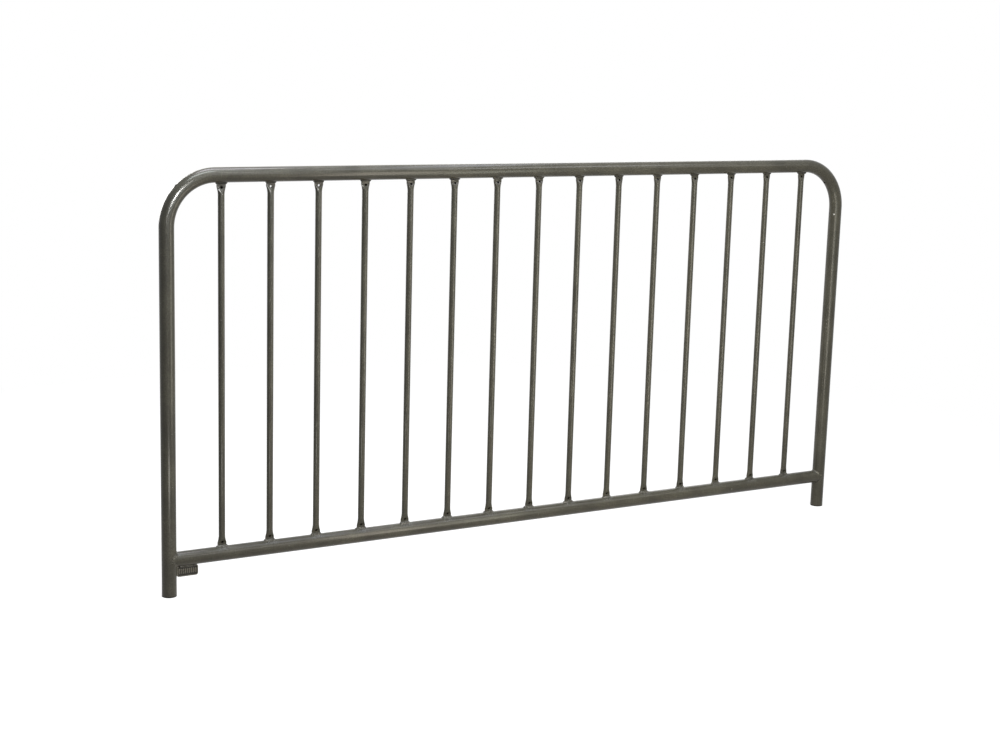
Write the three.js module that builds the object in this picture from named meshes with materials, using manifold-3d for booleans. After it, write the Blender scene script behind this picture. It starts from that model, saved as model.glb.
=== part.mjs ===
// A street guard rail of welded steel tube: a bent hoop, a lower rail, upright bars and a small tag plate.
// Millimetres. +X runs along the rail, +Z is up, and the origin lies on the ground midway between the legs.
import * as THREE from "three";
import { mergeVertices } from "three/addons/utils/BufferGeometryUtils.js";
import Module from "manifold-3d";

// Overall
const overallLength = 2000;
const overallHeight = 1000;
const groundClearance = 70; // from the ground to the underside of the lower rail
const gap = 0.3; // clearance between two pieces that touch

// Hoop and lower rail, both of one tube
const tubeDiameter = 35;
const tubeWall = 2;
const bendInsideRadius = 100;
const ventDiameter = 8; // drilled through each bend at 45 degrees
const tubeSides = 24;
const bendSteps = 9;

// Bars
const barCount = 15;
const barDiameter = 16;
const barWall = 1.5;
const pressedLength = 9; // fully flat at each end
const taperLength = 18; // from the flat back to the round tube
const drainDiameter = 6;
const drainPastFlat = 1.5; // from the end of the flat to the drain hole's centre
const drilledThrough = [2, 3]; // bars whose upper drain hole goes through both walls
const taperShares = [0.25, 0.5, 0.75, 1];
const boreTaperShares = [0.25, 1];
const barSides = 12;
const boreSides = 8;
const drillSides = 12;

// Welds
const topBeadLeg = 3;
const topBeadHeight = 3.5;
const bottomBeadLeg = 4;
const bottomBeadHeight = 4.5;
const beadThroat = 0.5; // of a bar's bead, at its thin edge
const railBeadLeg = 5;
const railBeadProud = 1.5; // how far the rail's weld stands out at the front and back
const railBeadPastAxis = 2.5; // how far it runs past the leg's axis
const tagBeadRadius = 2.5;
const tagBeadMargin = 1; // between the rail's weld and the tag's

// Tag plate
const tagLength = 53;
const tagHeight = 26;
const tagThickness = 5;
const tagCornerRadius = 6;
const tagRimWidth = 2.2;
const tagRecessDepth = 1.6;
const tagRibCount = 9;
const tagRibWidth = 2.2;
const tagRibHeight = 11;
const tagRibProud = 1.1;
const cornerSteps = 4;

// Worked out from the sizes above
const tubeRadius = tubeDiameter / 2;
const postX = overallLength / 2 - tubeRadius;
const topAxisZ = overallHeight - tubeRadius;
const bottomAxisZ = groundClearance + tubeRadius;
const bendRadius = bendInsideRadius + tubeRadius;
const clearSpan = 2 * (postX - tubeRadius);
const pitch = (clearSpan + barDiameter) / (barCount + 1);
const barBottomZ = bottomAxisZ + tubeRadius + gap;
const pressedThickness = 2 * barWall;
const tagCentreX = tubeRadius + gap + tagLength / 2 - postX;
const tagCentreZ = -tubeRadius - gap - tagHeight / 2; // below the lower rail's axis
const overrun = tubeDiameter; // how far a cutter runs past what it cuts

const paint = new THREE.MeshStandardMaterial({ color: 0x5c5c56, metalness: 0.6, roughness: 0.4 });
const weldPaint = new THREE.MeshStandardMaterial({ color: 0x66665f, metalness: 0.5, roughness: 0.55 });
const tagPaint = new THREE.MeshStandardMaterial({ color: 0x50504b, metalness: 0.5, roughness: 0.5 });

const wasm = await Module();
wasm.setup();

// Solids and geometries
function solid(geometry) {
  const bare = geometry.clone();
  bare.deleteAttribute("normal");
  bare.deleteAttribute("uv");
  const merged = mergeVertices(bare);
  const vertProperties = merged.getAttribute("position").array;
  const triVerts = new Uint32Array(merged.index.array);
  return new wasm.Manifold(new wasm.Mesh({ numProp: 3, vertProperties, triVerts }));
}

function geometryOf(body) {
  const mesh = body.getMesh();
  const geometry = new THREE.BufferGeometry();
  geometry.setAttribute("position", new THREE.BufferAttribute(mesh.vertProperties, 3));
  geometry.setIndex(new THREE.BufferAttribute(mesh.triVerts, 1));
  geometry.computeVertexNormals();
  return geometry;
}

// A round rod along X, Y or Z, centred on the origin.
function rod(axis, radius, length, sides) {
  const geometry = new THREE.CylinderGeometry(radius, radius, length, sides);
  if (axis === "x") {
    geometry.rotateZ(Math.PI / 2);
  }
  if (axis === "z") {
    geometry.rotateX(Math.PI / 2);
  }
  return geometry;
}

// A closed body through rings of equal count, listed upwards.
function loft(rings) {
  const sides = rings[0].length;
  const faces = [];
  for (let r = 0; r < rings.length - 1; r++) {
    for (let k = 0; k < sides; k++) {
      const here = r * sides + k;
      const next = r * sides + ((k + 1) % sides);
      faces.push(here, next, next + sides);
      faces.push(here, next + sides, here + sides);
    }
  }
  const top = (rings.length - 1) * sides;
  for (let k = 1; k < sides - 1; k++) {
    faces.push(0, k + 1, k);
    faces.push(top, top + k, top + k + 1);
  }
  const geometry = new THREE.BufferGeometry();
  geometry.setAttribute("position", new THREE.Float32BufferAttribute(rings.flat(2), 3));
  geometry.setIndex(faces);
  return geometry;
}

// Hoop: up the left leg, over both bends and down the right leg, with rings only where the tube bends.
class HoopPath extends THREE.Curve {
  stationCount = 2 * bendSteps + 3;

  station(t) {
    const step = t * this.stationCount;
    const side = step < this.stationCount / 2 ? -1 : 1;
    const fromFoot = side < 0 ? step : this.stationCount - step;
    const bent = THREE.MathUtils.clamp(fromFoot - 1, 0, bendSteps) / bendSteps;
    return { side, fromFoot, angle: (bent * Math.PI) / 2 };
  }

  getPointAt(t) {
    const { side, fromFoot, angle } = this.station(t);
    const bendFootZ = topAxisZ - bendRadius;
    if (fromFoot < 1) {
      return new THREE.Vector3(side * postX, 0, bendFootZ * fromFoot);
    }
    const x = postX - bendRadius + bendRadius * Math.cos(angle);
    return new THREE.Vector3(side * x, 0, bendFootZ + bendRadius * Math.sin(angle));
  }

  getTangentAt(t) {
    const { side, angle } = this.station(t);
    return new THREE.Vector3(Math.sin(angle), 0, -side * Math.cos(angle));
  }
}

function hoopFrame() {
  const section = new THREE.Shape().absarc(0, 0, tubeRadius, 0, 2 * Math.PI, false);
  section.holes.push(new THREE.Path().absarc(0, 0, tubeRadius - tubeWall, 0, 2 * Math.PI, true));
  const path = new HoopPath();
  const tube = new THREE.ExtrudeGeometry(section, {
    steps: path.stationCount,
    curveSegments: tubeSides / 2,
    extrudePath: path,
  });
  let hoop = solid(tube);
  for (const side of [-1, 1]) {
    const drill = rod("z", ventDiameter / 2, tubeDiameter + 2 * overrun, drillSides);
    drill.translate(0, 0, bendRadius);
    drill.rotateY((side * Math.PI) / 4);
    drill.translate(side * (postX - bendRadius), 0, topAxisZ - bendRadius);
    hoop = hoop.subtract(solid(drill));
  }
  return geometryOf(hoop);
}

// Height of the hoop's underside at a distance from the middle: level, and then down each bend's chords.
function undersideAt(distance) {
  const level = topAxisZ - tubeRadius;
  const intoBend = distance - (postX - bendRadius);
  if (intoBend <= 0) {
    return level;
  }
  const turn = Math.PI / 2 / bendSteps;
  const near = Math.floor(Math.asin(intoBend / bendInsideRadius) / turn) * turn;
  const far = near + turn;
  const share = (intoBend / bendInsideRadius - Math.sin(near)) / (Math.sin(far) - Math.sin(near));
  return level - bendInsideRadius * (1 - THREE.MathUtils.lerp(Math.cos(near), Math.cos(far), share));
}

// Space of the lower rail and of the legs, with the clearance, from the middle of the lower rail's axis.
function railSpace() {
  return solid(rod("x", tubeRadius + gap, overallLength, tubeSides));
}

function legSpace(side) {
  const leg = rod("z", tubeRadius + gap, 2 * overallHeight, tubeSides);
  return solid(leg.translate(side * postX, 0, 0));
}

// Lower rail: its ends are coped to the legs.
function bottomRail() {
  const outside = rod("x", tubeRadius, 2 * postX, tubeSides);
  const bore = rod("x", tubeRadius - tubeWall, 2 * postX + overrun, tubeSides);
  let rail = solid(outside).subtract(solid(bore));
  for (const side of [-1, 1]) {
    rail = rail.subtract(legSpace(side));
  }
  return geometryOf(rail);
}

// The rail's weld fills the corner between the two tubes and lies nearly flush at the front and back.
function railWeld(side) {
  const reach = tubeRadius + railBeadLeg;
  const flatten = (tubeRadius + railBeadProud) / reach;
  const alongLeg = rod("z", reach, 2 * reach, tubeSides).scale(1, flatten, 1);
  alongLeg.translate(side * postX, 0, 0);
  const alongRail = rod("x", reach, reach + railBeadPastAxis, tubeSides).scale(1, flatten, 1);
  alongRail.translate(side * (postX + (railBeadPastAxis - reach) / 2), 0, 0);
  const bead = solid(alongLeg).intersect(solid(alongRail));
  return geometryOf(bead.subtract(legSpace(side)).subtract(railSpace()).subtract(tagSpace()));
}

// Tag plate: a cast blank with round corners, a raised rim and plain upright ribs in its recess.
function roundedRectangle(width, height, radius) {
  const x = width / 2 - radius;
  const z = height / 2 - radius;
  const shape = new THREE.Shape();
  shape.absarc(x, z, radius, 0, Math.PI / 2, false);
  shape.absarc(-x, z, radius, Math.PI / 2, Math.PI, false);
  shape.absarc(-x, -z, radius, Math.PI, 1.5 * Math.PI, false);
  shape.absarc(x, -z, radius, 1.5 * Math.PI, 2 * Math.PI, false);
  return shape;
}

function slab(shape, depth, frontY) {
  const options = { depth, bevelEnabled: false, curveSegments: cornerSteps };
  const geometry = new THREE.ExtrudeGeometry(shape, options);
  geometry.rotateX(Math.PI / 2);
  return solid(geometry.translate(0, frontY + depth, 0));
}

function tagSpace() {
  const outline = roundedRectangle(tagLength + 2 * gap, tagHeight + 2 * gap, tagCornerRadius + gap);
  const space = slab(outline, tagThickness + 2 * gap, -tagThickness / 2 - gap);
  return space.translate(tagCentreX, 0, tagCentreZ);
}

function tagPlate() {
  const frontY = -tagThickness / 2;
  const floorY = frontY + tagRecessDepth;
  const blank = slab(roundedRectangle(tagLength, tagHeight, tagCornerRadius), tagThickness, frontY);
  const recess = roundedRectangle(
    tagLength - 2 * tagRimWidth,
    tagHeight - 2 * tagRimWidth,
    Math.max(tagCornerRadius - tagRimWidth, gap),
  );
  let plate = blank.subtract(slab(recess, tagRecessDepth + overrun, frontY - overrun));
  const ribRoot = (tagThickness - tagRecessDepth) / 2;
  const ribPitch = (tagLength - 2 * tagCornerRadius) / tagRibCount;
  for (let k = 0; k < tagRibCount; k++) {
    const rib = new THREE.BoxGeometry(tagRibWidth, tagRibProud + ribRoot, tagRibHeight);
    rib.translate((k - (tagRibCount - 1) / 2) * ribPitch, floorY + (ribRoot - tagRibProud) / 2, 0);
    plate = plate.add(solid(rib));
  }
  return geometryOf(plate);
}

// Bead in the corner between the tag's face and the rail, from the rail's weld to the far round corner.
function tagWeld(side) {
  const near = railBeadLeg + tagBeadMargin - tagLength / 2;
  const far = tagLength / 2 - tagCornerRadius;
  const straight = far - near - 2 * tagBeadRadius;
  const bead = new THREE.CapsuleGeometry(tagBeadRadius, straight, cornerSteps, drillSides);
  bead.rotateZ(Math.PI / 2);
  bead.translate((near + far) / 2, (side * tagThickness) / 2, tagHeight / 2);
  const faceY = tagThickness / 2 + gap;
  const behind = new THREE.BoxGeometry(tagLength, faceY + overrun, 2 * tagHeight);
  behind.translate(0, (side * (faceY - overrun)) / 2, tagHeight / 2);
  const rail = railSpace().translate(-tagCentreX, 0, -tagCentreZ);
  return geometryOf(solid(bead).subtract(solid(behind)).subtract(rail));
}

// Bars: round tube, pressed flat at both ends. It keeps its girth, so its two half rounds move apart.
function pressedReach(thickness) {
  return (Math.PI * (barDiameter - thickness)) / 4;
}

function barRing(sides, thickness, offset, z) {
  const radius = thickness / 2 + offset;
  return Array.from({ length: sides }, (_, k) => {
    const angle = ((k + 0.5) * 2 * Math.PI) / sides;
    const x = Math.sign(Math.cos(angle)) * pressedReach(thickness) + radius * Math.cos(angle);
    return [x, radius * Math.sin(angle), z];
  });
}

// Height and thickness along one end of a bar, and the same mirrored for the other end.
function taper(shares) {
  return shares.map((share) => {
    const rounded = Math.sin((share * Math.PI) / 2);
    const thickness = pressedThickness + (barDiameter - pressedThickness) * rounded;
    return [pressedLength + share * taperLength, thickness];
  });
}

function pressedTube(sides, offset, lowerEnd, length) {
  const upperEnd = lowerEnd.map(([z, thickness]) => [length - z, thickness]).reverse();
  const stations = [...lowerEnd, ...upperEnd];
  return solid(loft(stations.map(([z, thickness]) => barRing(sides, thickness, offset, z))));
}

// A drain hole is drilled from the front, through one wall or through both.
function drain(z, through) {
  const depth = barDiameter + 2 * overrun;
  const drill = rod("y", drainDiameter / 2, depth, drillSides);
  return solid(drill.translate(0, through ? 0 : -depth / 2, z));
}

function bar(length, through) {
  const flat = [
    [0, pressedThickness],
    [pressedLength, pressedThickness],
  ];
  const boreEnd = [[pressedLength, pressedThickness + gap]];
  const outside = pressedTube(barSides, 0, [...flat, ...taper(taperShares)], length);
  const bore = pressedTube(boreSides, -barWall, [...boreEnd, ...taper(boreTaperShares)], length);
  const drainZ = pressedLength + drainPastFlat;
  const tube = outside.subtract(bore);
  return geometryOf(tube.subtract(drain(drainZ, false)).subtract(drain(length - drainZ, through)));
}

// Bead round a bar's lower end, with the bar's end at zero height and the rail under it.
function barWeld(leg, height) {
  const edge = gap + beadThroat;
  const stations = [
    [-leg, leg],
    [0, leg],
    [height / 2, (leg + edge) / 2],
    [height, edge],
  ];
  const outside = stations.map(([z, offset]) => barRing(barSides, pressedThickness, offset, z));
  const inside = [-leg - overrun, height + overrun].map((z) => barRing(barSides, pressedThickness, gap, z));
  const rail = railSpace().translate(0, 0, -gap - tubeRadius);
  return geometryOf(solid(loft(outside)).subtract(solid(loft(inside))).subtract(rail));
}

// Assembly
function piece(name, geometry, material) {
  const mesh = new THREE.Mesh(geometry, material);
  mesh.name = name;
  return mesh;
}

function lowerRail() {
  const group = new THREE.Group();
  group.position.z = bottomAxisZ;
  group.add(piece("bottom_rail", bottomRail(), paint));
  group.add(piece("rail_weld_left", railWeld(-1), weldPaint));
  group.add(piece("rail_weld_right", railWeld(1), weldPaint));
  group.add(tag());
  return group;
}

function tag() {
  const group = new THREE.Group();
  group.position.set(tagCentreX, 0, tagCentreZ);
  group.add(piece("tag_plate", tagPlate(), tagPaint));
  group.add(piece("tag_weld_front", tagWeld(-1), weldPaint));
  group.add(piece("tag_weld_back", tagWeld(1), weldPaint));
  return group;
}

const topBead = barWeld(topBeadLeg, topBeadHeight);
const bottomBead = barWeld(bottomBeadLeg, bottomBeadHeight);
const topBeadReach = pressedReach(pressedThickness) + pressedThickness / 2 + topBeadLeg;

function weldedBar(k) {
  const number = String(k).padStart(2, "0");
  const x = (k - (barCount + 1) / 2) * pitch;
  const length = undersideAt(Math.abs(x) + topBeadReach) - gap - barBottomZ;
  const group = new THREE.Group();
  group.position.set(x, 0, barBottomZ);
  group.add(piece("baluster_" + number, bar(length, drilledThrough.includes(k)), paint));
  group.add(piece("bottom_weld_" + number, bottomBead, weldPaint));
  const topWeld = piece("top_weld_" + number, topBead, weldPaint);
  topWeld.position.z = length;
  topWeld.rotation.x = Math.PI;
  group.add(topWeld);
  return group;
}

const guardRail = new THREE.Group();
guardRail.add(piece("hoop_frame", hoopFrame(), paint));
guardRail.add(lowerRail());
for (let k = 1; k <= barCount; k++) {
  guardRail.add(weldedBar(k));
}

export default guardRail;
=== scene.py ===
import math

import bmesh
import bpy
from mathutils import Matrix, Vector, noise


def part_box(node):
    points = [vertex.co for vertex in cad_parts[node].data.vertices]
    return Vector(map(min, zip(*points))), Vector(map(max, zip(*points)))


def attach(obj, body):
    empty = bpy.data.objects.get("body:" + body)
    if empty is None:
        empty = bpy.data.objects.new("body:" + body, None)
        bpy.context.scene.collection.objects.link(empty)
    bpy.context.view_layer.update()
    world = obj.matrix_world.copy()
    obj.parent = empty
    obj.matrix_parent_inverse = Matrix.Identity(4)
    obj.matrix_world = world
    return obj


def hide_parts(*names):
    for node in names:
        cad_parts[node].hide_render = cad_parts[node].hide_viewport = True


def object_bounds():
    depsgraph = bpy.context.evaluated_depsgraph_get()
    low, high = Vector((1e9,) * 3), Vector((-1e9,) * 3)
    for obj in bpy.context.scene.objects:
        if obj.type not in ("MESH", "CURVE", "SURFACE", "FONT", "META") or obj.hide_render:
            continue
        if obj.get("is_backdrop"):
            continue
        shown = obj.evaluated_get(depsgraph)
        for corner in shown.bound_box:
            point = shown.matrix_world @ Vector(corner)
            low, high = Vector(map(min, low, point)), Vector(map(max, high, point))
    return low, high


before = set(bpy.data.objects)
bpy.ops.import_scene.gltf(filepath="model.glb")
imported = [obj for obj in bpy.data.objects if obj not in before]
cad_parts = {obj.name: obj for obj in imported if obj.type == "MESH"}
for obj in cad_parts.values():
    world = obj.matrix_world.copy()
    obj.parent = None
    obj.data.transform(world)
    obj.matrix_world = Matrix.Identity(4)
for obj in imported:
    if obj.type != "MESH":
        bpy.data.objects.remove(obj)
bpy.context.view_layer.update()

# The hoop is one round steel tube, bent cold into both legs, the two corners and the hand rail.
# Its feet are cut square and left open, and a hole drilled through each corner lets zinc and air out.
# Like the whole panel it is galvanised and painted a dark, warm, satin grey, but not on its inside.
hoop_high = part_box("hoop_frame")[1]
tube_radius = hoop_high.y
tube_wall = 0.002
post_x = hoop_high.x - tube_radius
top_z = hoop_high.z - tube_radius
bend_radius = 0.100 + tube_radius
bend_foot_z = top_z - bend_radius
bend_x = post_x - bend_radius
tube_segments = 96
sharp_angle = math.radians(32)
bend_steps = 32
foot_edge_radius = 0.0005
vent_radius = 0.004
vent_segments = 32
paint_dark = (0.022, 0.0205, 0.0145, 1)
paint_light = (0.072, 0.068, 0.051, 1)
foot_rim_height = 0.0024
# Nearly black: the dirty zinc inside the tubes and round the feet, darkened further as painted shade.
bore_shade_dark = (0.003, 0.0027, 0.0022, 1)
bore_shade_light = (0.016, 0.0145, 0.012, 1)
bare_zinc = (0.42, 0.42, 0.41, 1)
chip_place = (0.9687, -0.0118, 0.8472)
chip_radius = 0.0024
chip_rim = 1.3
chip_raggedness = 0.5


def new_ring(bm, segments, radius, place):
    """A level ring of edges round a place, turned by half a step so that no point lies on an axis."""
    turned = Matrix.Translation(place) @ Matrix.Rotation(math.pi / segments, 4, "Z")
    bmesh.ops.create_circle(bm, segments=segments, radius=radius, matrix=turned)
    return bm.edges[:]


def points_of(edges):
    """The points of some edges, each once and in a steady order."""
    return list(dict.fromkeys(vert for edge in edges for vert in edge.verts))


def draw_out(bm, edges, offset):
    """Draws a ring of edges out by an offset, and gives the new ring."""
    made = bmesh.ops.extrude_edge_only(bm, edges=edges)["geom"]
    ring = [part for part in made if isinstance(part, bmesh.types.BMEdge)]
    bmesh.ops.translate(bm, verts=points_of(ring), vec=offset)
    return ring


def bend(bm, edges, centre):
    """Bends a ring of edges by a quarter turn about a centre in the plane of the panel."""
    turned = bmesh.ops.spin(
        bm,
        geom=points_of(edges) + edges,
        cent=centre,
        axis=(0, 1, 0),
        dvec=(0, 0, 0),
        angle=math.pi / 2,
        steps=bend_steps,
    )
    return [part for part in turned["geom_last"] if isinstance(part, bmesh.types.BMEdge)]


def write_smooth(bm, mesh):
    """Writes a shape to a mesh, smooth all over but for its real edges."""
    for face in bm.faces:
        face.smooth = True
    for edge in bm.edges:
        edge.smooth = edge.calc_face_angle(0) < sharp_angle
    bm.to_mesh(mesh)
    bm.free()


def new_object(bm, name):
    """A shape as an object in the scene, at the origin."""
    mesh = bpy.data.meshes.new(name)
    write_smooth(bm, mesh)
    made = bpy.data.objects.new(name, mesh)
    bpy.context.scene.collection.objects.link(made)
    return made


def carve(piece, tool_bm, operation="DIFFERENCE"):
    """Cuts a tool's shape out of a piece, or joins it on, for good."""
    tool = new_object(tool_bm, "tool")
    for material in piece.data.materials:
        tool.data.materials.append(material)
    modifier = piece.modifiers.new("carve", "BOOLEAN")
    modifier.operation = operation
    modifier.solver = "EXACT"
    modifier.object = tool
    carved = bpy.data.meshes.new_from_object(piece.evaluated_get(bpy.context.evaluated_depsgraph_get()))
    piece.modifiers.clear()
    piece.data = carved
    bpy.data.objects.remove(tool)
    again = bmesh.new()
    again.from_mesh(carved)
    write_smooth(again, carved)


def fit(piece, node_name, slot, *materials):
    """Puts a finished piece in the place of its CAD node, with its finish."""
    for material in materials:
        piece.data.materials.append(material)
    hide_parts(node_name)
    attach(piece, "root")


def add_node(tree, kind, inputs, **settings):
    """One shader node. An input has a name or a number, and is a value or another node's output."""
    made = tree.nodes.new(kind)
    for name, value in settings.items():
        setattr(made, name, value)
    for name, value in inputs.items():
        if isinstance(value, bpy.types.NodeSocket):
            tree.links.new(value, made.inputs[name])
        else:
            made.inputs[name].default_value = value
    return made


def add_noise(tree, place, scale, detail=3, stretch=(1, 1, 1)):
    """Noise at a place, as a factor from 0 to 1. A stretch below 1 draws it out along that axis."""
    mapping = add_node(tree, "ShaderNodeMapping", {"Vector": place, "Scale": stretch})
    cloud = add_node(
        tree, "ShaderNodeTexNoise", {"Vector": mapping.outputs[0], "Scale": scale, "Detail": detail}
    )
    return cloud.outputs[0]


def add_range(tree, value, low, high, to_low=0, to_high=1):
    """A value brought from one range to another, and held inside it."""
    inputs = {"Value": value, "From Min": low, "From Max": high, "To Min": to_low, "To Max": to_high}
    return add_node(tree, "ShaderNodeMapRange", inputs).outputs[0]


def add_mix(tree, factor, first, second):
    """Two colours mixed by a factor. The mix node takes them at its inputs 6 and 7."""
    inputs = {0: factor, 6: first, 7: second}
    return add_node(tree, "ShaderNodeMix", inputs, data_type="RGBA").outputs[2]


def tube_paint(name, sideways_from, chip=False, welded_pitch=0):
    """Satin paint on tube: cloudy tone, faint runs along it, fine flakes, dust specks and orange peel.
    The runs go upright below the height sideways_from and sideways above it. A chip shows the zinc, and a
    pitch puts weld spatter on the crown wherever a bar is welded on: there the crown gets painted shade,
    with light flecks of painted highlight on the grains."""
    material = bpy.data.materials.new(name)
    material.use_nodes = True
    tree = material.node_tree
    shader = tree.nodes["Principled BSDF"]
    place = add_node(tree, "ShaderNodeTexCoord", {}).outputs["Object"]
    height = add_node(tree, "ShaderNodeSeparateXYZ", {"Vector": place}).outputs["Z"]
    half_bend = bend_radius / 2
    sideways = add_range(tree, height, sideways_from - half_bend, sideways_from + half_bend)
    upright_runs = add_noise(tree, place, 260, stretch=(1, 1, 0.04))
    sideways_runs = add_noise(tree, place, 230, stretch=(0.02, 1, 1))
    runs = add_mix(tree, sideways, upright_runs, sideways_runs)
    clouds = add_noise(tree, place, 14, 5)
    flakes = add_noise(tree, place, 1400, 2)
    tone = add_mix(tree, add_range(tree, clouds, 0.3, 0.7), paint_dark, paint_light)
    streaked = add_mix(tree, 0.35, tone, add_mix(tree, runs, paint_dark, paint_light))
    flaked = add_mix(tree, add_range(tree, flakes, 0.3, 0.75, 0, 0.22), streaked, paint_light)
    mottle = add_noise(tree, place, 330, 2)
    mottled = add_mix(tree, add_range(tree, mottle, 0.4, 0.6, 0, 0.5), flaked, paint_dark)
    specks = add_noise(tree, place, 190, 1)
    colour = add_mix(tree, add_range(tree, specks, 0.80, 0.84, 0, 0.8), mottled, bare_zinc)
    if chip:
        ragged = add_range(tree, add_noise(tree, place, 900), 0, 1, 0, chip_radius * chip_raggedness)
        away = add_node(
            tree, "ShaderNodeVectorMath", {0: place, 1: chip_place}, operation="DISTANCE"
        ).outputs["Value"]
        edge = add_node(tree, "ShaderNodeMath", {0: away, 1: ragged}, operation="ADD").outputs[0]
        colour = add_mix(
            tree, add_range(tree, edge, chip_radius, chip_radius * chip_rim, 1, 0), colour, bare_zinc
        )
    if welded_pitch:
        along = add_node(tree, "ShaderNodeSeparateXYZ", {"Vector": place}).outputs["X"]
        from_bar = add_node(
            tree, "ShaderNodeMath", {0: along, 1: welded_pitch / 2}, operation="PINGPONG"
        ).outputs[0]
        beside = add_range(tree, from_bar, spatter_reach / 2, spatter_reach, 1, 0)
        crown = add_range(tree, height, rail_z + tube_radius / 2, rail_z + tube_radius * 0.8)
        grains = add_range(tree, add_noise(tree, place, 480, 1), 0.52, 0.62)
        # Beside each bar the crown gets painted shade, and the light flecks there are painted highlights on
        # spatter grains.
        spatter_and_shade = add_node(tree, "ShaderNodeMath", {0: beside, 1: crown}, operation="MULTIPLY").outputs[0]
        shown = add_node(tree, "ShaderNodeMath", {0: spatter_and_shade, 1: grains}, operation="MULTIPLY").outputs[0]
        crown_shade = add_mix(tree, add_range(tree, spatter_and_shade, 0, 1, 0, 0.5), colour, paint_dark)
        colour = add_mix(tree, add_range(tree, shown, 0, 1, 0, 0.22), crown_shade, bare_zinc)
    tree.links.new(colour, shader.inputs["Base Color"])
    rough = add_range(tree, clouds, 0.3, 0.7, 0.31, 0.37)
    tree.links.new(rough, shader.inputs["Roughness"])
    peel = add_noise(tree, place, 620, 2)
    waves = add_noise(tree, place, 20, 1)
    dents = add_node(
        tree, "ShaderNodeBump", {"Strength": 0.1, "Distance": 0.0006, "Height": waves}
    ).outputs[0]
    bump = add_node(
        tree, "ShaderNodeBump", {"Strength": 0.06, "Distance": 0.0003, "Height": peel, "Normal": dents}
    )
    tree.links.new(bump.outputs[0], shader.inputs["Normal"])
    shader.inputs["Specular IOR Level"].default_value = 0.17
    shader.inputs["Coat Weight"].default_value = 0.2
    shader.inputs["Coat Roughness"].default_value = 0.14
    return material


def bore_dirt_and_shade(name):
    """The dull, dirty zinc inside a tube and round its foot, where no paint holds, coloured nearly black:
    dirt and painted shade.
    """
    material = bpy.data.materials.new(name)
    material.use_nodes = True
    tree = material.node_tree
    shader = tree.nodes["Principled BSDF"]
    place = add_node(tree, "ShaderNodeTexCoord", {}).outputs["Object"]
    dirt = add_noise(tree, place, 500, 3)
    tree.links.new(add_mix(tree, dirt, bore_shade_dark, bore_shade_light), shader.inputs["Base Color"])
    tree.links.new(add_range(tree, dirt, 0.3, 0.7, 0.7, 0.9), shader.inputs["Roughness"])
    shader.inputs["Specular IOR Level"].default_value = 0.02
    return material


def from_core(place):
    """How far a place on the hoop is from the tube's centre line."""
    across = abs(place.x)
    if place.z <= bend_foot_z:
        return math.hypot(across - post_x, place.y)
    if across <= bend_x:
        return math.hypot(place.z - top_z, place.y)
    return math.hypot(math.hypot(across - bend_x, place.z - bend_foot_z) - bend_radius, place.y)


hoop_bm = bmesh.new()
ring = new_ring(hoop_bm, tube_segments, tube_radius, (-post_x, 0, 0))
ring = draw_out(hoop_bm, ring, (0, 0, foot_rim_height))
ring = draw_out(hoop_bm, ring, (0, 0, bend_foot_z - foot_rim_height))
ring = bend(hoop_bm, ring, (-bend_x, 0, bend_foot_z))
ring = draw_out(hoop_bm, ring, (2 * bend_x, 0, 0))
ring = bend(hoop_bm, ring, (bend_x, 0, bend_foot_z))
ring = draw_out(hoop_bm, ring, (0, 0, foot_rim_height - bend_foot_z))
draw_out(hoop_bm, ring, (0, 0, -foot_rim_height))
bmesh.ops.recalc_face_normals(hoop_bm, faces=hoop_bm.faces[:])
if hoop_bm.faces[0].normal.dot(hoop_bm.faces[0].calc_center_median() - Vector((-post_x, 0, 0))) < 0:
    bmesh.ops.reverse_faces(hoop_bm, faces=hoop_bm.faces[:])
bmesh.ops.solidify(hoop_bm, geom=hoop_bm.faces[:], thickness=tube_wall)
# Only the edges that run round the feet are as short as this, not those across the wall.
foot_edges = [
    edge
    for edge in hoop_bm.edges
    if max(vert.co.z for vert in edge.verts) < foot_edge_radius
    and edge.calc_length() < tube_wall * 0.8
]
bmesh.ops.bevel(
    hoop_bm,
    geom=foot_edges,
    offset=foot_edge_radius,
    segments=3,
    profile=0.5,
    affect="EDGES",
    material=-1,
)
# Faces inside the tube and in a thin rim round each foot take the second finish: dirt and painted shade.
for face in hoop_bm.faces:
    middle = face.calc_center_median()
    dirty_and_shaded = middle.z < foot_rim_height or from_core(middle) < tube_radius - tube_wall / 2
    face.material_index = 1 if dirty_and_shaded else 0
hoop = new_object(hoop_bm, "hoop_tube")
hoop.data.materials.append(tube_paint("hoop_paint", top_z - bend_radius / 2, chip=True))
hoop.data.materials.append(bore_dirt_and_shade("hoop_bore_shade_finish"))
drills = bmesh.new()
for side in (-1, 1):
    slanted = Matrix.Rotation(side * math.pi / 4, 4, "Y") @ Matrix.Translation((0, 0, bend_radius))
    bmesh.ops.create_cone(
        drills,
        cap_ends=True,
        segments=vent_segments,
        radius1=vent_radius,
        radius2=vent_radius,
        depth=3 * tube_radius,
        matrix=Matrix.Translation((side * bend_x, 0, bend_foot_z)) @ slanted,
    )
carve(hoop, drills)
fit(hoop, "hoop_frame", "paint")

# The bottom rail is a straight length of the same tube, its ends coped to sit round the legs.
# It carries the lower ends of the balusters, and the tag under its left end.
rail_low, rail_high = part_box("bottom_rail")
rail_z = (rail_low.z + rail_high.z) / 2
cope_gap = 0.0003
bar_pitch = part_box("baluster_02")[0].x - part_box("baluster_01")[0].x
spatter_reach = 0.021

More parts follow.
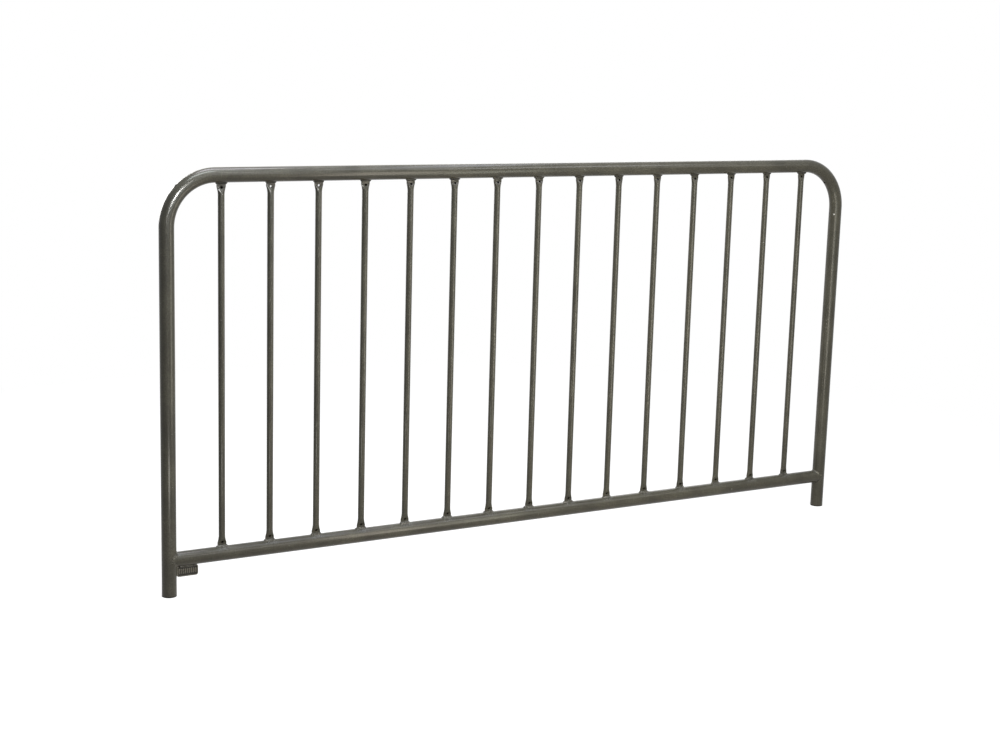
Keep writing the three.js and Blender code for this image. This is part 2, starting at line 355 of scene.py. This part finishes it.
rail_bm = bmesh.new()
ring = new_ring(rail_bm, tube_segments, tube_radius, (0, 0, -post_x))
draw_out(rail_bm, ring, (0, 0, 2 * post_x))
level = Matrix.Translation((0, 0, rail_z)) @ Matrix.Rotation(math.pi / 2, 4, "Y")
bmesh.ops.transform(rail_bm, matrix=level, verts=rail_bm.verts[:])
bmesh.ops.recalc_face_normals(rail_bm, faces=rail_bm.faces[:])
if rail_bm.faces[0].normal.dot(rail_bm.faces[0].calc_center_median() - Vector((0, 0, rail_z))) < 0:
    bmesh.ops.reverse_faces(rail_bm, faces=rail_bm.faces[:])
bmesh.ops.solidify(rail_bm, geom=rail_bm.faces[:], thickness=tube_wall)
for vert in rail_bm.verts:
    cope = math.sqrt((tube_radius + cope_gap) ** 2 - vert.co.y**2)
    vert.co.x = math.copysign(post_x - cope, vert.co.x)
rail = new_object(rail_bm, "bottom_rail_tube")
# The rail's paint has painted shade on the crown beside each bar, with light flecks of painted highlight.
fit(rail, "bottom_rail", "paint", tube_paint("rail_paint", -1, welded_pitch=bar_pitch))

# Each end of the bottom rail is welded all round to its leg. The bead fills the corner above and below,
# spreads into a flat patch at the front and back where the tubes lie side by side, and is painted over.
saddle_segments = 144
saddle_rows = 14
saddle_corner_half = (0.0029, 0.0021)
saddle_patch_half = (0.0050, 0.0005)
saddle_round = 0.05
saddle_lump_size = 0.003
saddle_lump_share = 0.6


def closed_bead(segments, rows, place):
    """A bead closed on itself. place gives the point for an angle round it and a row of its section."""
    bead = bmesh.new()
    angle = bead.verts.layers.float.new("angle")
    first = new_ring(bead, segments, 1, (0, 0, 0))
    for vert in bead.verts:
        vert[angle] = math.atan2(vert.co.y, vert.co.x)
    ring = first
    for row in range(rows):
        if row > 0:
            ring = draw_out(bead, ring, (0, 0, 0))
        for vert in points_of(ring):
            vert.co = place(vert[angle], row)
    bmesh.ops.bridge_loops(bead, edges=first + ring)
    bmesh.ops.recalc_face_normals(bead, faces=bead.faces[:])
    return bead


def lump(place, size, share):
    """A lump in a bead, as a share more or less than its plain thickness."""
    return 1 + share * noise.noise(Vector(place) / size)


def weld_paint(name, dark, light, highlight_flecks, ripple):
    """The same paint over a rippled bead: painted highlight on the lumps, painted shade in the hollows, and
    light flecks of painted highlight.
    """
    material = bpy.data.materials.new(name)
    material.use_nodes = True
    tree = material.node_tree
    shader = tree.nodes["Principled BSDF"]
    place = add_node(tree, "ShaderNodeTexCoord", {}).outputs["Object"]
    lumps = add_noise(tree, place, 260, 3)
    grains = add_noise(tree, place, 520, 2)
    tone = add_mix(tree, add_range(tree, lumps, 0.4, 0.6), dark, light)
    colour = add_mix(tree, add_range(tree, grains, 0.56, 0.64, 0, highlight_flecks), tone, bare_zinc)
    tree.links.new(colour, shader.inputs["Base Color"])
    tree.links.new(add_range(tree, grains, 0.3, 0.7, 0.32, 0.5), shader.inputs["Roughness"])
    bump = add_node(tree, "ShaderNodeBump", {"Strength": ripple, "Distance": 0.0006, "Height": lumps})
    tree.links.new(bump.outputs[0], shader.inputs["Normal"])
    shader.inputs["Specular IOR Level"].default_value = 0.2
    shader.inputs["Coat Weight"].default_value = 0.2
    shader.inputs["Coat Roughness"].default_value = 0.12
    return material


def saddle_point(side, angle, row):
    """A point of the rail's weld: the angle goes round the rail, and the row round the bead's section."""
    across, up = math.sin(angle), math.cos(angle)
    inward = math.sqrt(up * up + saddle_round)
    seam = Vector((inward * tube_radius, across * tube_radius, up * tube_radius))
    leg_face = Vector((inward, across, 0)).normalized()
    rail_face = Vector((0, across, up))
    out = (leg_face + rail_face).normalized()
    run = Vector((-up * across / inward, up, -across)).normalized()
    sideways = run.cross(out)
    patch = 1 - abs(up)
    half_width = saddle_corner_half[0] + (saddle_patch_half[0] - saddle_corner_half[0]) * patch
    half_height = saddle_corner_half[1] + (saddle_patch_half[1] - saddle_corner_half[1]) * patch
    turn = 2 * math.pi * row / saddle_rows
    rough = lump(seam, saddle_lump_size, saddle_lump_share * abs(up))
    beside = sideways * half_width * math.cos(turn)
    above = out * half_height * math.sin(turn)
    point = seam + (beside + above) * rough
    return Vector((side * (post_x - point.x), point.y, rail_z + point.z))


# The rail's beads use the paint's own colours, with painted highlight on the lumps and painted shade in the
# hollows.
saddle_finish = weld_paint("saddle_paint", paint_dark, paint_light, highlight_flecks=0.05, ripple=0.15)
for name, side in (("left", -1), ("right", 1)):
    bead = closed_bead(saddle_segments, saddle_rows, lambda angle, row: saddle_point(side, angle, row))
    fit(new_object(bead, "rail_bead_" + name), "rail_weld_" + name, "weld", saddle_finish)

# The balusters are thin round tubes. Each end is pressed flat in the plane of the panel, which gives the
# weld a long seat, and a hole drilled from the front just past the flat drains it. Two are drilled through.
bar_low, bar_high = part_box("baluster_02")
bar_radius = bar_high.y
bar_length = bar_high.z - bar_low.z
bar_wall = 0.0015
pressed_thickness = 2 * bar_wall
pressed_length = 0.009
taper_length = 0.018
taper_steps = 14
bar_segments = 48
drain_radius = 0.003
drain_height = pressed_length + 0.0015
drain_segments = 24
drilled_through = ("baluster_02", "baluster_03")
bore_start = pressed_length + bar_wall / 5


def bar_thickness(height):
    """Thickness of a bar at a height over its lower end."""
    from_end = min(height, bar_length - height)
    share = min(max((from_end - pressed_length) / taper_length, 0), 1)
    return pressed_thickness + (2 * bar_radius - pressed_thickness) * math.sin(share * math.pi / 2)


def pressed_tube(offset, first_height):
    """A closed bar, round and then pressed at its ends. Pressed tube keeps its girth, so it spreads."""
    taper = [pressed_length + step * taper_length / taper_steps for step in range(1, taper_steps + 1)]
    heights = first_height + taper
    heights += [bar_length - height for height in reversed(heights)]
    radius = bar_radius + offset
    tube = bmesh.new()
    ring = new_ring(tube, bar_segments, radius, (0, 0, heights[0]))
    for low, high in zip(heights, heights[1:]):
        ring = draw_out(tube, ring, (0, 0, high - low))
    bmesh.ops.holes_fill(tube, edges=tube.edges[:])
    for vert in tube.verts:
        thickness = bar_thickness(vert.co.z)
        squeeze = (thickness / 2 + offset) / radius
        spread = math.pi * (2 * bar_radius - thickness) / 4
        vert.co.x = vert.co.x * squeeze + math.copysign(spread, vert.co.x)
        vert.co.y *= squeeze
    bmesh.ops.recalc_face_normals(tube, faces=tube.faces[:])
    return tube


def drain_drills(through):
    """The drills for a bar's two holes: both from the front, and the upper one through it if asked."""
    drills = bmesh.new()
    depth = 4 * bar_radius
    upper_y = 0 if through else -depth / 2
    for height, centre_y in ((drain_height, -depth / 2), (bar_length - drain_height, upper_y)):
        bmesh.ops.create_cone(
            drills,
            cap_ends=True,
            segments=drain_segments,
            radius1=drain_radius,
            radius2=drain_radius,
            depth=depth,
            matrix=Matrix.Translation((0, centre_y, height)) @ Matrix.Rotation(math.pi / 2, 4, "X"),
        )
    return drills


def finished_with(cutter, index):
    """A cutter that leaves the bar's finish of that index on what it cuts."""
    for face in cutter.faces:
        face.material_index = index
    return cutter


bar_meshes = {}
for through in (False, True):
    pattern = new_object(pressed_tube(0, [0, pressed_length]), "bar_pattern")
    pattern.data.materials.append(tube_paint("baluster_paint", 3))
    pattern.data.materials.append(bore_dirt_and_shade("bore_shade_finish"))
    # The bore and both drain holes take the second finish, nearly black: dirt and painted shade.
    carve(pattern, finished_with(pressed_tube(-bar_wall, [bore_start]), 1))
    carve(pattern, finished_with(drain_drills(through), 1))
    bar_meshes[through] = pattern.data
    bpy.data.objects.remove(pattern)

bar_names = sorted(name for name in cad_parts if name.startswith("baluster_"))
bar_places = {}
for name in bar_names:
    low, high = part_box(name)
    bar_places[name] = Vector(((low.x + high.x) / 2, 0, low.z))
    mesh = bar_meshes[name in drilled_through].copy()
    mesh.transform(Matrix.Translation(bar_places[name]))
    bar = bpy.data.objects.new(name.replace("baluster", "baluster_tube"), mesh)
    bpy.context.scene.collection.objects.link(bar)
    fit(bar, name, "paint")

# Each baluster is welded all round at both ends. The beads are short and lumpy, thicker at the bottom,
# where the weld was laid on top of the rail. They are painted over, and the upper ones, under the rail, are
# painted darker as painted shade.
bottom_bead_size = (0.0034, 0.0038)
top_bead_size = (0.0030, 0.0035)
bead_segments = 72
bead_arc_steps = 7
bead_sink = 0.0004
bead_swell = 1.25
bead_lump_size = 0.0035
bead_grain_size = 0.0013
bead_edge_lump_size = 0.0021
# Bead colours run from painted shade in the hollows to painted highlight on the lumps.
bead_shaded = (0.022, 0.020, 0.015, 1)
bead_lit = (0.062, 0.058, 0.047, 1)
# The upper beads' colours are darker: painted shade under the rail.
top_bead_shade_dark = (0.008, 0.007, 0.005, 1)
top_bead_shade_light = (0.034, 0.031, 0.024, 1)
bead_finish = weld_paint("bead_paint", bead_shaded, bead_lit, highlight_flecks=0.3, ripple=0.5)
top_bead_shade_finish = weld_paint("top_bead_shade_paint", top_bead_shade_dark, top_bead_shade_light, highlight_flecks=0.08, ripple=0.5)


def bead_point(size, origin, angle, row):
    """A point of a bar's bead: the angle goes round the flat end, the row up its face and down inside."""
    leg, height = size
    core_x = math.copysign(math.pi * (2 * bar_radius - pressed_thickness) / 4, math.cos(angle))
    outward = Vector((math.cos(angle), math.sin(angle)))
    seam = origin + Vector((core_x + outward.x * 0.002, outward.y * 0.002, 0))
    if row <= bead_arc_steps:
        turn = row / bead_arc_steps * math.pi / 2
        rough = lump(seam, bead_lump_size, 0.5) * lump(seam, bead_grain_size, 0.25)
        ragged = lump(seam, bead_edge_lump_size, 0.9 * math.cos(turn))
        offset = leg * math.cos(turn) ** bead_swell * rough * ragged
        rise = height * math.sin(turn) ** bead_swell * rough - bead_sink
    else:
        offset = -bead_sink
        rise = (height if row == bead_arc_steps + 1 else 0) - 2 * bead_sink
    radius = pressed_thickness / 2 + offset
    x = core_x + outward.x * radius
    y = outward.y * radius
    seat = math.sqrt(tube_radius**2 - y * y) - tube_radius
    sag = seat * max(1 - max(rise, 0) / height, 0)
    return Vector((x, y, rise + sag))


def bar_bead(name, node_name, origin, size, flip):
    """One bead at a bar's end, of a leg and a height. A top bead is the same shape upside down."""
    rows = bead_arc_steps + 3
    bead = closed_bead(bead_segments, rows, lambda angle, row: bead_point(size, origin, angle, row))
    turned = Matrix.Translation(origin) @ Matrix.Rotation(math.pi if flip else 0, 4, "X")
    bmesh.ops.transform(bead, matrix=turned, verts=bead.verts[:])
    fit(new_object(bead, name), node_name, "weld", top_bead_shade_finish if flip else bead_finish)


for name in bar_names:
    number = name[-2:]
    foot = bar_places[name]
    head = foot + Vector((0, 0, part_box(name)[1].z - foot.z))
    bar_bead("bottom_bead_" + number, "bottom_weld_" + number, foot, bottom_bead_size, flip=False)
    bar_bead("top_bead_" + number, "top_weld_" + number, head, top_bead_size, flip=True)

# The tag is a small steel casting with round corners, a raised rim and plain upright ribs in its recess.
# It hangs under the bottom rail with its end against the left leg, held by a bead at the front and back.
tag_low, tag_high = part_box("tag_plate")
tag_middle = (tag_low + tag_high) / 2
tag_size = tag_high - tag_low
tag_corner_radius = 0.006
tag_edge_radius = 0.0007
tag_rim = 0.0022
tag_recess = 0.0016
tag_rib_count = 9
tag_rib_size = (0.0030, 0.0026, 0.012)
tag_rib_pitch = (tag_size.x - 3 * tag_rim) / tag_rib_count
tag_dark = (0.014, 0.013, 0.010, 1)
tag_light = (0.125, 0.119, 0.098, 1)


def tag_paint(name):
    """The same paint on a sand casting: grainy, its recess darker as painted shade and its proud faces
    lighter where worn.
    """
    material = bpy.data.materials.new(name)
    material.use_nodes = True
    tree = material.node_tree
    shader = tree.nodes["Principled BSDF"]
    place = add_node(tree, "ShaderNodeTexCoord", {}).outputs["Object"]
    depth = add_node(tree, "ShaderNodeSeparateXYZ", {"Vector": place}).outputs["Y"]
    proud = add_range(tree, depth, tag_low.y + tag_recess, tag_low.y + tag_recess * 0.3)
    grain = add_noise(tree, place, 700, 4)
    # Dark in the recess as painted shade, lighter on proud faces where the paint is worn.
    wear_and_recess_shade = add_node(tree, "ShaderNodeMath", {0: proud, 1: grain}, operation="MULTIPLY").outputs[0]
    colour = add_mix(tree, add_range(tree, wear_and_recess_shade, 0.1, 0.5), tag_dark, tag_light)
    tree.links.new(colour, shader.inputs["Base Color"])
    tree.links.new(add_range(tree, grain, 0.3, 0.7, 0.4, 0.6), shader.inputs["Roughness"])
    bump = add_node(tree, "ShaderNodeBump", {"Strength": 0.35, "Distance": 0.0004, "Height": grain})
    tree.links.new(bump.outputs[0], shader.inputs["Normal"])
    shader.inputs["Specular IOR Level"].default_value = 0.2
    shader.inputs["Coat Weight"].default_value = 0.2
    shader.inputs["Coat Roughness"].default_value = 0.3
    return material


plate = bmesh.new()
upright = Matrix.Translation((tag_middle.x, tag_low.y, tag_middle.z)) @ Matrix.Rotation(math.pi / 2, 4, "X")
bmesh.ops.create_grid(plate, x_segments=1, y_segments=1, size=0.5, matrix=upright)
bmesh.ops.scale(
    plate,
    vec=(tag_size.x, 1, tag_size.z),
    space=Matrix.Translation((-tag_middle.x, 0, -tag_middle.z)),
    verts=plate.verts[:],
)
bmesh.ops.bevel(
    plate,
    geom=plate.verts[:],
    offset=tag_corner_radius,
    segments=8,
    profile=0.5,
    affect="VERTICES",
    material=-1,
)
front = plate.faces[:]
back = bmesh.ops.extrude_face_region(plate, geom=front)["geom"]
back_points = [part for part in back if isinstance(part, bmesh.types.BMVert)]
bmesh.ops.translate(plate, verts=back_points, vec=(0, tag_size.y, 0))
bmesh.ops.recalc_face_normals(plate, faces=plate.faces[:])
rims = [edge for edge in plate.edges if abs(edge.calc_face_angle(0) - math.pi / 2) < 0.1]
bmesh.ops.bevel(
    plate, geom=rims, offset=tag_edge_radius, segments=3, profile=0.5, affect="EDGES", material=-1
)
front_face = min(plate.faces, key=lambda face: (face.calc_center_median().y, -face.calc_area()))
bmesh.ops.inset_region(plate, faces=[front_face], thickness=tag_rim - tag_edge_radius, use_even_offset=True)
bmesh.ops.inset_region(plate, faces=[front_face], thickness=tag_edge_radius, depth=0, use_even_offset=True)
bmesh.ops.translate(plate, verts=front_face.verts[:], vec=(0, tag_recess, 0))
tag = new_object(plate, "cast_tag")
for k in range(tag_rib_count):
    rib = bmesh.new()
    bmesh.ops.create_cube(rib, size=1, matrix=Matrix.Diagonal((*tag_rib_size, 1)))
    bmesh.ops.bevel(
        rib,
        geom=rib.edges[:],
        offset=tag_edge_radius / 2,
        segments=2,
        profile=0.5,
        affect="EDGES",
        material=-1,
    )
    x = tag_middle.x + (k - (tag_rib_count - 1) / 2) * tag_rib_pitch
    y = tag_low.y + tag_recess
    bmesh.ops.translate(rib, verts=rib.verts[:], vec=(x, y, tag_middle.z))
    carve(tag, rib, "UNION")
fit(tag, "tag_plate", "tag", tag_paint("tag_paint"))

tag_bead_segments = 24
tag_bead_steps = 60
tag_bead_radius = 0.0024
tag_bead_lump_size = 0.003
tag_bead_blunt = 0.02
for name in ("front", "back"):
    low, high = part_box("tag_weld_" + name)
    middle = (low + high) / 2
    length = high.x - low.x
    bead = bmesh.new()
    ring = new_ring(bead, tag_bead_segments, tag_bead_radius, (0, 0, 0))
    for step in range(tag_bead_steps):
        ring = draw_out(bead, ring, (0, 0, length / tag_bead_steps))
    bmesh.ops.holes_fill(bead, edges=bead.edges[:])
    for vert in bead.verts:
        from_end = min(vert.co.z, length - vert.co.z) / tag_bead_radius
        closing = math.sqrt(max(1 - (1 - min(from_end, 1)) ** 2, tag_bead_blunt))
        fat = closing * lump(vert.co + middle, tag_bead_lump_size, 0.3)
        vert.co.x *= fat
        vert.co.y *= fat
    lying = Matrix.Translation((low.x, middle.y, middle.z)) @ Matrix.Rotation(math.pi / 2, 4, "Y")
    bmesh.ops.transform(bead, matrix=lying, verts=bead.verts[:])
    bmesh.ops.recalc_face_normals(bead, faces=bead.faces[:])
    fit(new_object(bead, "tag_bead_" + name), "tag_weld_" + name, "weld", bead_finish)

# The studio: a white floor and surroundings, soft lamps, and the camera where the photograph's stood.
# Lamps stand before the panel, long ones hang overhead and two fill the back. The narrow glint shows
# only where the paint mirrors it. The floor is white to the eye, but throws a dull light on the panel.
floor_size = 30
floor_shade = (0.2, 0.2, 0.2, 1)
floor_glow = 0.88
floor_bounce = (0.30, 0.25, 0.19, 1)
shade_reach = (1.2, 2.6)
white = (1, 1, 1, 1)
floor_bm = bmesh.new()
bmesh.ops.create_grid(floor_bm, x_segments=1, y_segments=1, size=floor_size)
floor = new_object(floor_bm, "floor")
floor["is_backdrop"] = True


def seen_directly(tree):
    """1 for rays from the camera and for what metal and glass mirror, and 0 for the light that falls."""
    path = add_node(tree, "ShaderNodeLightPath", {})
    mirrored = add_node(
        tree,
        "ShaderNodeMath",
        {0: path.outputs["Is Glossy Ray"], 1: path.outputs["Is Transmission Ray"]},
        operation="MAXIMUM",
    )
    return add_node(
        tree,
        "ShaderNodeMath",
        {0: path.outputs["Is Camera Ray"], 1: mirrored.outputs[0]},
        operation="MAXIMUM",
    ).outputs[0]


floor_material = bpy.data.materials.new("white_floor")
floor_material.use_nodes = True
tree = floor_material.node_tree
tree.nodes.remove(tree.nodes["Principled BSDF"])
shaded = add_node(tree, "ShaderNodeBsdfDiffuse", {"Color": floor_shade})
glow = add_node(tree, "ShaderNodeEmission", {"Color": white, "Strength": floor_glow})
near = add_node(tree, "ShaderNodeAddShader", {0: shaded.outputs[0], 1: glow.outputs[0]})
far = add_node(tree, "ShaderNodeEmission", {"Color": white, "Strength": 1})
place = add_node(tree, "ShaderNodeTexCoord", {}).outputs["Object"]
away = add_node(tree, "ShaderNodeVectorMath", {0: place}, operation="LENGTH").outputs["Value"]
to_the_eye = add_node(
    tree,
    "ShaderNodeMixShader",
    {0: add_range(tree, away, *shade_reach), 1: near.outputs[0], 2: far.outputs[0]},
)
dull = add_node(tree, "ShaderNodeBsdfDiffuse", {"Color": floor_bounce})
choice = add_node(
    tree, "ShaderNodeMixShader", {0: seen_directly(tree), 1: dull.outputs[0], 2: to_the_eye.outputs[0]}
)
tree.links.new(choice.outputs[0], tree.nodes["Material Output"].inputs["Surface"])
floor.data.materials.append(floor_material)

world = bpy.data.worlds.new("studio")
bpy.context.scene.world = world
world.use_nodes = True
tree = world.node_tree
backdrop = tree.nodes["Background"]
backdrop.inputs["Color"].default_value = white
ambient = add_node(tree, "ShaderNodeBackground", {"Color": (0.9, 0.95, 1, 1), "Strength": 0.05})
choice = add_node(
    tree, "ShaderNodeMixShader", {0: seen_directly(tree), 1: ambient.outputs[0], 2: backdrop.outputs[0]}
)
tree.links.new(choice.outputs[0], tree.nodes["World Output"].inputs["Surface"])


def add_lamp(name, place, aim, size, power, colour):
    """A rectangular soft lamp that faces a point, out of the camera's sight."""
    lamp = bpy.data.lights.new(name, "AREA")
    lamp.shape = "RECTANGLE"
    lamp.size, lamp.size_y = size
    lamp.energy = power
    lamp.color = colour
    holder = bpy.data.objects.new(name, lamp)
    holder.location = place
    holder.rotation_euler = (Vector(aim) - Vector(place)).to_track_quat("-Z", "Y").to_euler()
    holder.visible_camera = False
    bpy.context.scene.collection.objects.link(holder)
    return holder


add_lamp("front", (0.2, -1.3, 0.58), (0.15, 0, 0.5), (0.3, 1.2), 10.2, (1, 0.9, 0.77))
add_lamp("front_low", (0.3, -1.2, 0.25), (0.2, 0, 0.25), (0.4, 0.3), 1.1, (1, 0.97, 0.88))
add_lamp("front_near", (0.3, -0.9, 0.5), (0.1, 0, 0.45), (0.35, 1.0), 1.8, (1, 0.99, 0.78))
add_lamp("front_right", (0.65, -1.3, 0.6), (0.5, 0, 0.5), (0.25, 0.9), 3.4, (0.94, 1, 0.9))
add_lamp("front_high", (-0.4, -1.0, 1.7), (-0.3, 0, 0.6), (0.4, 0.3), 3.4, (1, 1, 1))
add_lamp("front_far", (0.1, -2.2, 1.5), (0, 0, 0.5), (0.6, 0.6), 5.8, (1, 0.97, 1))
add_lamp("front_left", (-0.4, -2.8, 0.9), (0, 0, 0.5), (0.6, 0.6), 5.8, (0.82, 0.98, 1))
add_lamp("overhead_front", (-0.8, -0.7, 2.6), (-0.6, 0, 0.9), (1.2, 0.6), 48, (0.93, 1, 1))
add_lamp("overhead_left", (-0.5, 0.34, 2.6), (-0.6, 0, 0.98), (1.0, 0.5), 30.7, (0.92, 0.89, 1))
add_lamp("overhead_long", (0.6, -0.1, 2.6), (0.2, 0, 0.9), (2.2, 0.4), 15.5, (0.81, 0.84, 1))
add_lamp("overhead_right", (1.2, -1.2, 2.4), (0.2, 0, 0.9), (1.2, 0.5), 14, (0.96, 0.96, 1))
add_lamp("right_high", (1.7, -1.35, 1.7), (0.5, 0, 0.95), (0.6, 0.6), 3.1, (1, 0.98, 0.93))
add_lamp("left_low", (-1.1, -0.8, 0.09), (-0.98, 0, 0.04), (0.25, 0.12), 1.9, (1, 0.97, 0.9))
add_lamp("behind", (1.8, 2.2, 1.4), (0, 0, 0.5), (1.5, 1.5), 14, (1, 0.98, 0.95))
add_lamp("behind_left", (-0.9, 2.6, 1.3), (-0.5, 0, 0.5), (1.2, 1.2), 35, (1, 0.98, 0.95))
glint = add_lamp("glint", (-1.48, -2.2, 1.70), (-0.93, 0, 0.91), (0.55, 0.72), 5.5, (1, 1, 1))
glint.data.spread = math.radians(30)
glint.visible_diffuse = False

camera_place = Vector((-2.3280, -3.7614, 1.3033))
camera_aim = Vector((-0.0984, 0, 0.4570))
camera_roll = math.radians(1.638)
camera_data = bpy.data.cameras.new("camera")
camera_data.sensor_width = 36
camera_data.lens = 62.90
camera = bpy.data.objects.new("camera", camera_data)
camera.location = camera_place
look = (camera_aim - camera_place).to_track_quat("-Z", "Y")
camera.rotation_euler = (look.to_matrix() @ Matrix.Rotation(camera_roll, 3, "Z")).to_euler()
bpy.context.scene.collection.objects.link(camera)
bpy.context.scene.camera = camera
bpy.context.scene.view_settings.view_transform = "Standard"

low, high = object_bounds()
